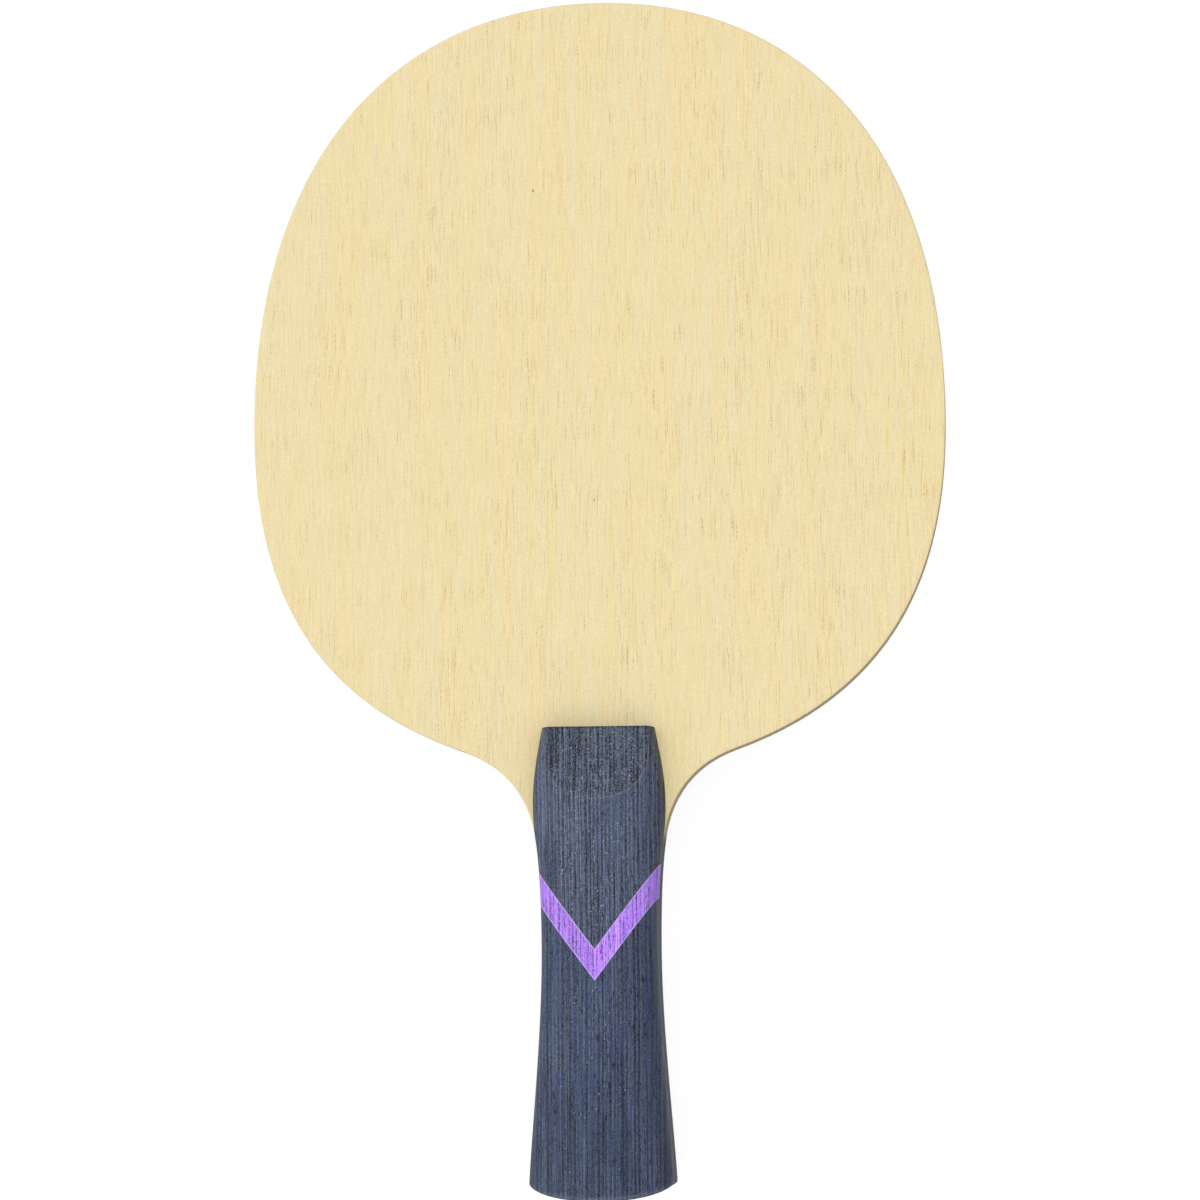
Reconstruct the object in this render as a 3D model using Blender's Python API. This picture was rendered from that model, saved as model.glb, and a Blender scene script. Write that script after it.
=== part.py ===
"""Table tennis blade: five glued plies and a flared, inlaid wooden handle, ready to take its rubbers.

The blade lies flat, front face up, in metres: +Y runs from the butt to the tip of the head, +X is to
the right of someone looking at the front face, and +Z comes out of that face. The origin is below the
middle of the blade, on the level of its lowest point. Inside the assembly, heights are measured from
the blade's middle plane, and lengths from the handle's top edge, where the handle meets the head.
"""

import math

import bmesh
import bpy
from mathutils import Vector
from mathutils.geometry import interpolate_bezier

# Plan of the blade, measured from the handle's top edge.
HEAD_LENGTH = 0.1585
HEAD_WIDTH = 0.150
HEAD_WIDEST_Y = 0.0668
HANDLE_LENGTH = 0.0998
HANDLE_TOP_WIDTH = 0.0240
HANDLE_SHOULDER_WIDTH = 0.0284
HANDLE_SHOULDER_Y = -0.0165
HANDLE_WAIST_WIDTH = 0.0250
HANDLE_WAIST_Y = -0.0472
HANDLE_BUTT_WIDTH = 0.0309
HANDLE_FLARE_END_Y = -0.0965
BUTT_CURVE_HALF_WIDTH = 0.0160
BUTT_CURVE_DEPTH = 0.0042

# Layers, from the middle plane outwards.
CORE_THICKNESS = 0.0024
INNER_PLY_THICKNESS = 0.0006
OUTER_PLY_THICKNESS = 0.0006
GLUE_GAP = 0.0003

# Handle scales: heights of the crown above the middle plane, and the shape of the section.
CROWN_AT_TOP = 0.0119
CROWN_AT_WAIST = 0.0112
CROWN_AT_BUTT = 0.0124
SECTION_POWER = 2.5
SECTION_STEPS = 22

# Thumb scoop, a hollow that a sanding drum leaves between the handle's top edge and its crown.
DRUM_RADIUS = 0.0426
DRUM_Y = -0.0022
SCOOP_HEIGHT = 0.0091

# Chevron inlay, two straight strips that meet on the centre line.
INLAY_WIDTH = 0.0040
INLAY_RISE = math.radians(53.0)
INLAY_POINT_Y = -0.0538

# How finely curved edges are divided. A side's arc is at most this much longer than its chord.
POINT_SPACING = 0.004
ARC_ALLOWANCE = 1.1
FEWEST_STEPS = 3
BUTT_CURVE_STEPS = 24
DRUM_STEPS = 96

CUTTER_REACH = 0.030
WELD_DISTANCE = 1e-6
SHARP_ANGLE = math.radians(35)

HALF_BLADE = CORE_THICKNESS / 2 + INNER_PLY_THICKNESS + OUTER_PLY_THICKNESS + 2 * GLUE_GAP
SCALE_BASE = HALF_BLADE + GLUE_GAP

# A side is a chain of knots: x, y, direction of travel in degrees, and the lengths of the tangent
# handles before and after the knot. It runs down the right-hand side, from the tip to the butt. Head
# and handle share the neck, where the head's curve runs out into the side of the handle.
NECK_X = 0.0137
NECK_Y = -0.0239
NECK_HEADING = -98.9
TIP = (0.0, HEAD_LENGTH, 0.0, 0.0, 0.0440)
WIDEST = (HEAD_WIDTH / 2, HEAD_WIDEST_Y, -90.0, 0.0597, 0.0256)
HEAD_SHOULDER = (0.0299, -0.0045, -160.4, 0.0415, 0.0059)
NECK = (NECK_X, NECK_Y, NECK_HEADING, 0.0136, 0.0014)
HANDLE_TOP = (HANDLE_TOP_WIDTH / 2, 0.0, -79.0, 0.0, 0.0060)
HANDLE_SHOULDER = (HANDLE_SHOULDER_WIDTH / 2, HANDLE_SHOULDER_Y, -90.0, 0.0060, 0.0026)
HANDLE_NECK = (NECK_X, NECK_Y, NECK_HEADING, 0.0024, 0.0014)
WAIST = (HANDLE_WAIST_WIDTH / 2, HANDLE_WAIST_Y, -90.0, 0.0157, 0.0169)
FLARE_END = (HANDLE_BUTT_WIDTH / 2, HANDLE_FLARE_END_Y, -86.8, 0.0126, 0.0015)
PAST_BUTT = (0.0157, -0.1015, -86.8, 0.0015, 0.0)

BLADE_SIDE = (TIP, WIDEST, HEAD_SHOULDER, NECK, WAIST, FLARE_END, PAST_BUTT)
HANDLE_SIDE = (HANDLE_TOP, HANDLE_SHOULDER, HANDLE_NECK, WAIST, FLARE_END, PAST_BUTT)

# Base colours in linear light, with roughness.
FACE_WOOD = ((0.855, 0.723, 0.407), 0.62)
INNER_WOOD = ((0.610, 0.430, 0.240), 0.70)
CORE_WOOD = ((0.760, 0.620, 0.400), 0.75)
DYED_WOOD = ((0.080, 0.098, 0.147), 0.55)
PURPLE_WOOD = ((0.413, 0.212, 0.823), 0.50)


def clear_scene():
    for obj in list(bpy.data.objects):
        bpy.data.objects.remove(obj, do_unlink=True)


def add_collection(name):
    collection = bpy.data.collections.new(name)
    bpy.context.scene.collection.children.link(collection)
    return collection


def wood_material(name, look):
    """A plain dielectric wood in one colour."""
    colour, roughness = look
    material = bpy.data.materials.new(name)
    material.use_nodes = True
    shader = material.node_tree.nodes["Principled BSDF"]
    shader.inputs["Base Color"].default_value = (*colour, 1.0)
    shader.inputs["Roughness"].default_value = roughness
    shader.inputs["Metallic"].default_value = 0.0
    return material


def side_points(knots):
    """Points along a chain of knots, no further apart than the spacing."""
    points = []
    for start, end in zip(knots, knots[1:]):
        first = Vector(start[:2])
        last = Vector(end[:2])
        leave = Vector((math.cos(math.radians(start[2])), math.sin(math.radians(start[2]))))
        arrive = Vector((math.cos(math.radians(end[2])), math.sin(math.radians(end[2]))))
        steps = max(FEWEST_STEPS, math.ceil((last - first).length * ARC_ALLOWANCE / POINT_SPACING))
        curve = interpolate_bezier(first, first + leave * start[4], last - arrive * end[3], last, steps + 1)
        points.extend(curve[:-1])
    points.append(Vector(knots[-1][:2]))
    return points


def mirrored_outline(side):
    """A closed outline from its right-hand side, without repeating a point on the centre line."""
    left = [Vector((-point.x, point.y)) for point in reversed(side) if point.x > 0]
    return list(side) + left


def slab(name, outline, half_thickness, height, collection, parent):
    """A flat solid of the given plan, as a mesh, centred on a height above the middle plane."""
    curve = bpy.data.curves.new(name, "CURVE")
    curve.dimensions = "2D"
    curve.fill_mode = "BOTH"
    curve.extrude = half_thickness
    spline = curve.splines.new("POLY")
    spline.points.add(len(outline) - 1)
    for point, place in zip(spline.points, outline):
        point.co = (place[0], place[1], 0.0, 1.0)
    spline.use_cyclic_u = True
    guide = bpy.data.objects.new(name + "_outline", curve)
    collection.objects.link(guide)
    bpy.context.view_layer.update()

    graph = bpy.context.evaluated_depsgraph_get()
    mesh = bpy.data.meshes.new_from_object(guide.evaluated_get(graph))
    mesh.name = name
    welded = bmesh.new()
    welded.from_mesh(mesh)
    bmesh.ops.remove_doubles(welded, verts=welded.verts, dist=WELD_DISTANCE)
    bmesh.ops.recalc_face_normals(welded, faces=welded.faces)
    welded.to_mesh(mesh)
    welded.free()

    obj = bpy.data.objects.new(name, mesh)
    obj.matrix_world = guide.matrix_world
    bpy.data.objects.remove(guide, do_unlink=True)
    collection.objects.link(obj)
    obj.location.z = height
    obj.parent = parent
    return obj


def as_cutter(obj):
    obj.hide_render = True
    obj.display_type = "WIRE"
    return obj


def add_boolean(obj, operation, cutter):
    modifier = obj.modifiers.new(operation.title() + " " + cutter.name, "BOOLEAN")
    modifier.operation = operation
    modifier.solver = "EXACT"
    modifier.object = cutter


def crown_height(y):
    """Height of the handle's crown: lowest at the waist, rising gently both ways."""
    if y > HANDLE_WAIST_Y:
        share = (y - HANDLE_WAIST_Y) / -HANDLE_WAIST_Y
        return CROWN_AT_WAIST + (CROWN_AT_TOP - CROWN_AT_WAIST) * share**2
    share = (y - HANDLE_WAIST_Y) / (-HANDLE_LENGTH - HANDLE_WAIST_Y)
    return CROWN_AT_WAIST + (CROWN_AT_BUTT - CROWN_AT_WAIST) * share**2


def scale_section(half_width, y):
    """Points over one section of a scale, from the right edge over the crown to the left edge."""
    rise = crown_height(y) - SCALE_BASE
    section = []
    for step in range(SECTION_STEPS + 1):
        angle = math.pi * step / SECTION_STEPS
        across = math.copysign(abs(math.cos(angle)) ** (2 / SECTION_POWER), math.cos(angle))
        above = abs(math.sin(angle)) ** (2 / SECTION_POWER)
        if step in (0, SECTION_STEPS):
            above = 0.0
        section.append((half_width * across, y, SCALE_BASE + rise * above))
    return section


def scale_blank_mesh():
    """One whole handle scale, flat underneath, lofted through its sections and run past the butt."""
    blank = bmesh.new()
    sections = []
    for place in side_points(HANDLE_SIDE):
        sections.append([blank.verts.new(point) for point in scale_section(place.x, place.y)])
    for upper, lower in zip(sections, sections[1:]):
        for step in range(SECTION_STEPS):
            blank.faces.new((upper[step], upper[step + 1], lower[step + 1], lower[step]))
        blank.faces.new((upper[-1], upper[0], lower[0], lower[-1]))
    blank.faces.new(list(reversed(sections[0])))
    blank.faces.new(sections[-1])
    bmesh.ops.recalc_face_normals(blank, faces=blank.faces)
    mesh = bpy.data.meshes.new("handle_scale_blank")
    blank.to_mesh(mesh)
    blank.free()
    mesh.shade_smooth()
    mesh.set_sharp_from_angle(angle=SHARP_ANGLE)
    return mesh


def drum_cutter(name, side, collection, parent):
    """The sanding drum of the thumb scoop, lying across the front (side 1) or the rear (side -1)."""
    drum = bmesh.new()
    bmesh.ops.create_cone(
        drum,
        cap_ends=True,
        segments=DRUM_STEPS,
        radius1=DRUM_RADIUS,
        radius2=DRUM_RADIUS,
        depth=2 * CUTTER_REACH,
    )
    mesh = bpy.data.meshes.new(name)
    drum.to_mesh(mesh)
    drum.free()
    obj = bpy.data.objects.new(name, mesh)
    collection.objects.link(obj)
    obj.location = (0.0, DRUM_Y, side * (SCOOP_HEIGHT + DRUM_RADIUS))
    obj.rotation_euler.y = math.pi / 2
    obj.parent = parent
    return as_cutter(obj)


def butt_cutter(collection, parent):
    """Everything past the curve of the butt, the end of an ellipse in plan."""
    centre_y = -HANDLE_LENGTH + BUTT_CURVE_DEPTH
    outline = [(-CUTTER_REACH, centre_y)]
    for step in range(BUTT_CURVE_STEPS + 1):
        angle = math.pi * step / BUTT_CURVE_STEPS
        across = -BUTT_CURVE_HALF_WIDTH * math.cos(angle)
        outline.append((across, centre_y - BUTT_CURVE_DEPTH * math.sin(angle)))
    outline.append((CUTTER_REACH, centre_y))
    outline.append((CUTTER_REACH, centre_y - CUTTER_REACH))
    outline.append((-CUTTER_REACH, centre_y - CUTTER_REACH))
    return as_cutter(slab("butt_cutter", outline, CUTTER_REACH, 0.0, collection, parent))


def chevron_y(x, offset):
    """Height in plan of a chevron line, moved up square to itself by the offset."""
    return INLAY_POINT_Y + abs(x) * math.tan(INLAY_RISE) + offset / math.cos(INLAY_RISE)


def scale_regions(collection, parent):
    """Prisms through the handle that hold the upper block, the two inlay strips and the lower block."""
    far = CUTTER_REACH
    inner = GLUE_GAP / 2
    above = INLAY_WIDTH + GLUE_GAP
    top = [(far, chevron_y(far, above)), (far, far), (-far, far), (-far, chevron_y(far, above))]
    top.append((0.0, chevron_y(0.0, above)))
    strip = [(inner, chevron_y(inner, 0.0)), (far, chevron_y(far, 0.0))]
    strip += [(far, chevron_y(far, INLAY_WIDTH)), (inner, chevron_y(inner, INLAY_WIDTH))]
    low_y = -HANDLE_LENGTH - far
    bottom = [(0.0, chevron_y(0.0, -GLUE_GAP)), (-far, chevron_y(far, -GLUE_GAP)), (-far, low_y)]
    bottom += [(far, low_y), (far, chevron_y(far, -GLUE_GAP))]
    plans = {
        "upper_block": top,
        "right_inlay": strip,
        "left_inlay": [(-x, y) for x, y in reversed(strip)],
        "lower_block": bottom,
    }
    regions = {}
    for name, plan in plans.items():
        regions[name] = as_cutter(slab(name + "_region", plan, CUTTER_REACH, 0.0, collection, parent))
    return regions


def add_plies(collection, parent, cutter):
    """The laminated blade, from the rear face to the front face."""
    outline = mirrored_outline(side_points(BLADE_SIDE))
    inner_height = CORE_THICKNESS / 2 + GLUE_GAP + INNER_PLY_THICKNESS / 2
    outer_height = HALF_BLADE - OUTER_PLY_THICKNESS / 2
    layers = (
        ("rear_outer_ply", OUTER_PLY_THICKNESS, -outer_height, FACE_WOOD),
        ("rear_inner_ply", INNER_PLY_THICKNESS, -inner_height, INNER_WOOD),
        ("core_ply", CORE_THICKNESS, 0.0, CORE_WOOD),
        ("front_inner_ply", INNER_PLY_THICKNESS, inner_height, INNER_WOOD),
        ("front_outer_ply", OUTER_PLY_THICKNESS, outer_height, FACE_WOOD),
    )
    for name, thickness, height, look in layers:
        ply = slab(name, outline, thickness / 2, height, collection, parent)
        ply.data.materials.append(wood_material(name, look))
        add_boolean(ply, "DIFFERENCE", cutter)


def add_scales(collection, parent, regions, drums, cutter):
    """Both handle scales, each an upper block, two inlay strips and a lower block."""
    looks = {
        "upper_block": DYED_WOOD,
        "left_inlay": PURPLE_WOOD,
        "right_inlay": PURPLE_WOOD,
        "lower_block": DYED_WOOD,
    }
    for face, turn in (("front", 0.0), ("rear", math.pi)):
        for piece, look in looks.items():
            name = face + "_" + piece
            obj = bpy.data.objects.new(name, scale_blank_mesh())
            collection.objects.link(obj)
            obj.rotation_euler.y = turn
            obj.parent = parent
            obj.data.materials.append(wood_material(name, look))
            add_boolean(obj, "INTERSECT", regions[piece])
            if piece == "upper_block":
                add_boolean(obj, "DIFFERENCE", drums[face])
            if piece == "lower_block":
                add_boolean(obj, "DIFFERENCE", cutter)


def build():
    clear_scene()
    paddle = add_collection("table_tennis_paddle")
    cutters = add_collection("cutters")
    frame = bpy.data.objects.new("middle_plane", None)
    paddle.objects.link(frame)
    frame.location = (0.0, (HANDLE_LENGTH - HEAD_LENGTH) / 2, CROWN_AT_BUTT)
    bpy.context.view_layer.update()

    butt = butt_cutter(cutters, frame)
    regions = scale_regions(cutters, frame)
    drums = {
        "front": drum_cutter("front_drum_cutter", 1, cutters, frame),
        "rear": drum_cutter("rear_drum_cutter", -1, cutters, frame),
    }
    add_plies(paddle, frame, butt)
    add_scales(paddle, frame, regions, drums, butt)


build()
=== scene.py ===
"""The looks of a table tennis blade: laminated wood, a dyed handle and a purple chevron inlay.

Every piece is worked out in its own frame and then set into the world: inside it, x runs across the
blade, y is measured from the handle's top edge (the head is above it, the butt below), and z is
measured from the middle plane of the plies. Lengths are in metres.
"""

import math

import bmesh
import bpy
import numpy as np
from mathutils import Matrix, Vector
from mathutils.geometry import interpolate_bezier


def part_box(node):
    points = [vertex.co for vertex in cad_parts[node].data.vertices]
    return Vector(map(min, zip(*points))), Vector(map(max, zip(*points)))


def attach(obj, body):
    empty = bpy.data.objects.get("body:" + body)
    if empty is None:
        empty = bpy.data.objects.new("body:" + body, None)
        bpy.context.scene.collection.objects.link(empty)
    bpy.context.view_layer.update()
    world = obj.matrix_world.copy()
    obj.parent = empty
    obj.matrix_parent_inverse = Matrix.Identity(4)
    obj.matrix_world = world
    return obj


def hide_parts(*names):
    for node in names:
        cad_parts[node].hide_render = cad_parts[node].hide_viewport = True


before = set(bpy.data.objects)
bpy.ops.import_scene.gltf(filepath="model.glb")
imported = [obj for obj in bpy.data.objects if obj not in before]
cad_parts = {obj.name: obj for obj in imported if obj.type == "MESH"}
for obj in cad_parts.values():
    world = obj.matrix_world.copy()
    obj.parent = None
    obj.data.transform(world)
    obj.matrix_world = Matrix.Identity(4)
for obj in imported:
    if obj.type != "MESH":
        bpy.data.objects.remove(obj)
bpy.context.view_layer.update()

MM = 0.001

# The frame's own sizes. The glue gaps between its plies are shared out to both sides.
core_low, core_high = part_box("core_ply")
top_low, top_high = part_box("front_outer_ply")
inner_low, inner_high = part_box("front_inner_ply")
_, upper_block_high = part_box("front_upper_block")
_, lower_block_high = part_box("front_lower_block")

TOP_EDGE_Y = upper_block_high.y
MIDDLE_Z = (core_low.z + core_high.z) / 2
HEAD_LENGTH = core_high.y - TOP_EDGE_Y
HANDLE_LENGTH = TOP_EDGE_Y - core_low.y
HALF_HEAD_WIDTH = core_high.x
FACE_Z = top_high.z - MIDDLE_Z
CORE_TOP_Z = (core_high.z + inner_low.z) / 2 - MIDDLE_Z
INNER_TOP_Z = (inner_high.z + top_low.z) / 2 - MIDDLE_Z
CROWN_AT_BUTT = lower_block_high.z - MIDDLE_Z

# Handle scale: its crown, its section, the hollow of the sanding drum, its butt and its inlay.
HANDLE_WAIST_Y = -47.2 * MM
CROWN_AT_TOP = 11.9 * MM
CROWN_AT_WAIST = 11.2 * MM
SECTION_POWER = 2.5
SECTION_POWER_AT_TOP = 3.0
DRUM_RADIUS = 42.6 * MM
DRUM_Y = -1.1 * MM
DRUM_TURN = math.radians(7.0)
SCOOP_Z = 9.1 * MM
SCOOP_TILT = math.radians(2.2)
SCOOP_END_Y = -18.0 * MM
SCOOP_BLEND = 0.16 * MM
BUTT_CURVE_HALF_WIDTH = 16.0 * MM
BUTT_CURVE_DEPTH = 4.2 * MM
BUTT_CURVE_START = 0.7 * HANDLE_LENGTH
INLAY_WIDTH = 4.0 * MM
INLAY_RISE = math.radians(53.0)
INLAY_POINT_X = -0.4 * MM
INLAY_POINT_Y = -53.8 * MM

# Seams, and edges worn round by sanding.
SEAM = 0.012 * MM
PLY_SEAM = 0.035 * MM
FACE_ROUND = 0.26 * MM
TOP_ROUND = 0.12 * MM
BUTT_ROUND = 0.5 * MM
ARRIS_FADE = 4 * MM
PLY_RIM = 0.6 * MM

# Marks on the surface: worn edges with a painted highlight, painted shade low on the grip's sides and along
# its top edge, and dye on the plies' edges. The height of the painted shade is a share of the section's own
# height.
WORN_HIGHLIGHT_HALF_WIDTH = 0.4 * MM
WORN_HIGHLIGHT_FULLNESS = 1.25
PAINTED_SHADE_HEIGHT = 0.75
PAINTED_SHADE_AT_TOP = 0.7 * MM
STAIN_ABOVE_NECK = 0.8 * MM
STAIN_NECK_FADE = 1.2 * MM
STAIN_BUTT_FADE = 0.3 * MM

# Steps of the surfaces.
OUTLINE_SPACING = 1.0 * MM
HANDLE_SIDE_SPACING = 0.2 * MM
SCOOP_SPACING = 0.3 * MM
GRIP_SPACING = 0.7 * MM
SECTION_STEPS = 96
ROUND_STEPS = 5
FEWEST_STEPS = 4
ARC_ALLOWANCE = 1.15
BUTT_PASSES = 8
NECK_GAP = 0.3 * MM
WELD = 0.0001 * MM
CUT_DISTANCE = 1e-8
ON_CENTRE_LINE = 1e-9

# A side is a chain of knots: x, y, direction of travel in degrees, and the lengths of the tangent
# handles before and after the knot. It runs down the right-hand side, from the tip to the butt.
TIP = (0.0, HEAD_LENGTH, 0.0, 0.0, 0.0440)
WIDEST = (HALF_HEAD_WIDTH, 0.0668, -90.0, 0.0597, 0.0256)
HEAD_SHOULDER = (0.0299, -0.0045, -160.4, 0.0415, 0.0059)
NECK = (0.0137, -0.0239, -98.9, 0.0136, 0.0014)
HANDLE_TOP = (0.0120, 0.0, -79.0, 0.0, 0.0060)
HANDLE_SHOULDER = (0.0142, -0.0165, -90.0, 0.0060, 0.0026)
HANDLE_NECK = (0.0137, -0.0239, -98.9, 0.0024, 0.0014)
WAIST = (0.0125, HANDLE_WAIST_Y, -90.0, 0.0157, 0.0169)
FLARE_END = (0.01545, -0.0965, -86.8, 0.0126, 0.0015)
PAST_BUTT = (0.0157, -0.1015, -86.8, 0.0015, 0.0)


# ---------------------------------------------------------------- outline and sections


def heading(degrees):
    return Vector((math.cos(math.radians(degrees)), math.sin(math.radians(degrees))))


def side_points(knots, spacing):
    """Points along a chain of knots, no further apart than the spacing."""
    points = []
    for start, end in zip(knots, knots[1:]):
        first, last = Vector(start[:2]), Vector(end[:2])
        leave = first + heading(start[2]) * start[4]
        arrive = last - heading(end[2]) * end[3]
        steps = max(FEWEST_STEPS, math.ceil((last - first).length * ARC_ALLOWANCE / spacing))
        points.extend(interpolate_bezier(first, leave, arrive, last, steps + 1)[:-1])
    points.append(Vector(knots[-1][:2]))
    return points


HANDLE_KNOTS = (HANDLE_TOP, HANDLE_SHOULDER, HANDLE_NECK, WAIST, FLARE_END, PAST_BUTT)
HANDLE_SIDE = side_points(HANDLE_KNOTS, HANDLE_SIDE_SPACING)
SIDE_Y = np.array([point.y for point in reversed(HANDLE_SIDE)])
SIDE_X = np.array([point.x for point in reversed(HANDLE_SIDE)])


def handle_half_width(y):
    return float(np.interp(y, SIDE_Y, SIDE_X))


def crown_height(y):
    """Height of the handle's crown: lowest at the waist, rising gently both ways."""
    if y > HANDLE_WAIST_Y:
        share = (y - HANDLE_WAIST_Y) / -HANDLE_WAIST_Y
        return CROWN_AT_WAIST + (CROWN_AT_TOP - CROWN_AT_WAIST) * share**2
    share = (y - HANDLE_WAIST_Y) / (-HANDLE_LENGTH - HANDLE_WAIST_Y)
    return CROWN_AT_WAIST + (CROWN_AT_BUTT - CROWN_AT_WAIST) * share**2


def butt_y(x):
    """The curve of the butt, the end of an ellipse in plan."""
    share = min(1.0, abs(x) / BUTT_CURVE_HALF_WIDTH)
    return -HANDLE_LENGTH + BUTT_CURVE_DEPTH * (1 - math.sqrt(1 - share**2))


def round_over(distance, radius):
    """How far a surface draws in at this distance from an edge that is rounded to the radius."""
    if distance >= radius:
        return 0.0
    return radius - math.sqrt(radius**2 - (radius - distance) ** 2)


def smooth(value):
    value = min(1.0, max(0.0, value))
    return value * value * (3 - 2 * value)


def section_place(step, station):
    """Where a column of the section sits, across from -1 to 1 and above from 0 to 1. The section is a
    superellipse, a little squarer at the handle's top edge."""
    if step in (0, SECTION_STEPS):
        return 1.0 if step == 0 else -1.0, 0.0
    if step * 2 == SECTION_STEPS:
        return 0.0, 1.0
    angle = math.pi * step / SECTION_STEPS
    below_top = smooth(-station / SCOOP_END_Y)
    power = SECTION_POWER_AT_TOP + (SECTION_POWER - SECTION_POWER_AT_TOP) * below_top
    across = math.copysign(abs(math.cos(angle)) ** (2 / power), math.cos(angle))
    return across, math.sin(angle) ** (2 / power)


def column_lengths():
    """How far below the handle's top edge each column of the section reaches the butt."""
    lengths = []
    for step in range(SECTION_STEPS + 1):
        across, _ = section_place(step, HANDLE_LENGTH)
        y = -HANDLE_LENGTH
        for _ in range(BUTT_PASSES):
            y = butt_y(across * handle_half_width(y))
        lengths.append(-y)
    return lengths


def row_stations():
    """Distances below the top edge: close at both rounded ends and on the scoop, wider between."""
    turns = [1 - math.cos(math.pi / 2 * step / ROUND_STEPS) for step in range(ROUND_STEPS + 1)]
    top = [TOP_ROUND * turn for turn in turns]
    butt = [HANDLE_LENGTH - BUTT_ROUND * turn for turn in reversed(turns)]
    scoop = np.arange(TOP_ROUND + SCOOP_SPACING, -SCOOP_END_Y, SCOOP_SPACING)
    count = math.ceil((butt[0] - scoop[-1]) / GRIP_SPACING)
    grip = np.linspace(scoop[-1], butt[0], count + 1)[1:-1]
    return top + list(scoop) + list(grip) + butt


def scoop_height(x, y):
    """Height of the hollow that the sanding drum leaves. Well past its end the drum is far above the
    wood."""
    if y < 2 * SCOOP_END_Y:
        return math.inf
    from_drum = y - DRUM_Y - x * math.tan(DRUM_TURN)
    drum = DRUM_RADIUS - math.sqrt(DRUM_RADIUS**2 - from_drum**2)
    return SCOOP_Z + drum - x * math.tan(SCOOP_TILT)


def grip_point(station, across, above, length):
    """A point on the outside of a handle scale, with its share of the scoop, its wear with a painted
    highlight, and its painted shade.
    """
    towards_butt = smooth((station - BUTT_CURVE_START) / (HANDLE_LENGTH - BUTT_ROUND - BUTT_CURVE_START))
    y = -station + towards_butt * (HANDLE_LENGTH - length)
    half_width = handle_half_width(y)
    rise = crown_height(y) - FACE_Z
    x = across * half_width
    scoop = scoop_height(x, y)
    z = FACE_Z + rise * above
    share = smooth((z - scoop) / SCOOP_BLEND * 0.5 + 0.5)
    z = soft_minimum(z, scoop, SCOOP_BLEND)
    tallest = min(scoop - FACE_Z, rise)
    to_butt = y + length
    inset = max(round_over(station, TOP_ROUND), round_over(to_butt, BUTT_ROUND))
    x *= 1 - inset / half_width
    z = FACE_Z + (z - FACE_Z) * (1 - inset / tallest)
    # painted highlight: a lighter band along the worn round of the butt's edge and along the scoop's ridge
    edge = smooth(WORN_HIGHLIGHT_FULLNESS - abs(to_butt - BUTT_ROUND) / WORN_HIGHLIGHT_HALF_WIDTH)
    ridge = 4 * share * (1 - share)
    # painted shade: darker low on the grip's sides and along its top edge, where shade falls
    painted_shade = max(smooth(1 - above / PAINTED_SHADE_HEIGHT), smooth(1 - station / PAINTED_SHADE_AT_TOP))
    return (x, y, z), (share, max(edge, ridge), painted_shade)


def grip_rows():
    """The outside of a handle scale, in rows from the right edge over the crown to the left edge."""
    lengths = column_lengths()
    rows = []
    for station in row_stations():
        places = [section_place(step, station) for step in range(SECTION_STEPS + 1)]
        rows.append([grip_point(station, *place, length) for place, length in zip(places, lengths)])
    return rows


def soft_minimum(a, b, width):
    """The lower of two heights, blended over a width where they cross."""
    gap = max(width - abs(a - b), 0.0) / width
    return min(a, b) - gap * gap * width / 4


# ---------------------------------------------------------------- handle pieces

SCALE_SHARP_ANGLE = math.radians(32)
PLY_SHARP_ANGLE = math.radians(40)


def shade(mesh, sharp_angle):
    mesh.shade_smooth()
    mesh.set_sharp_from_angle(angle=sharp_angle)


def whole_scale(rows):
    """One whole handle scale as a closed mesh, with the marks of its surface on its vertices."""
    scale = bmesh.new()
    layers = [scale.verts.layers.float.new(name) for name in ("scoop", "wear_and_highlight", "painted_shade")]
    grid = []
    for row in rows:
        line = []
        for place, marks in row:
            vertex = scale.verts.new(place)
            for layer, mark in zip(layers, marks):
                vertex[layer] = mark
            line.append(vertex)
        grid.append(line)
    for upper, lower in zip(grid, grid[1:]):
        for step in range(SECTION_STEPS):
            scale.faces.new((upper[step], upper[step + 1], lower[step + 1], lower[step]))
        scale.faces.new((upper[-1], upper[0], lower[0], lower[-1]))
    scale.faces.new(list(reversed(grid[0])))

    rim = grid[-1]
    foot = [rim[0]]
    for vertex in rim[1:-1]:
        foot.append(scale.verts.new((vertex.co.x, vertex.co.y, FACE_Z)))
    foot.append(rim[-1])
    for step in range(SECTION_STEPS):
        corners = [rim[step], rim[step + 1], foot[step + 1], foot[step]]
        scale.faces.new([corner for place, corner in enumerate(corners) if corner not in corners[:place]])
    scale.faces.new(list(foot))
    bmesh.ops.recalc_face_normals(scale, faces=scale.faces)
    return scale


def cut(piece, place, normal):
    """Cuts away what lies on the normal's side of a plane, and closes the cut with a face."""
    everything = piece.verts[:] + piece.edges[:] + piece.faces[:]
    found = bmesh.ops.bisect_plane(
        piece, geom=everything, dist=CUT_DISTANCE, plane_co=place, plane_no=normal, clear_outer=True
    )
    edges = [item for item in found["geom_cut"] if isinstance(item, bmesh.types.BMEdge)]
    bmesh.ops.holes_fill(piece, edges=edges, sides=0)


def chevron_plane(offset):
    """A point of the right-hand chevron line, moved up square to itself, and the line's normal."""
    place = Vector((INLAY_POINT_X, INLAY_POINT_Y + offset / math.cos(INLAY_RISE), 0.0))
    return place, Vector((-math.sin(INLAY_RISE), math.cos(INLAY_RISE), 0.0))


def mirrored(vector):
    return Vector((-vector.x, vector.y, vector.z))


def upper_part(piece):
    """The block above the chevron, cut to a point by both of its lines."""
    place, normal = chevron_plane(INLAY_WIDTH + SEAM)
    cut(piece, place, -normal)
    cut(piece, place, -mirrored(normal))


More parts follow.
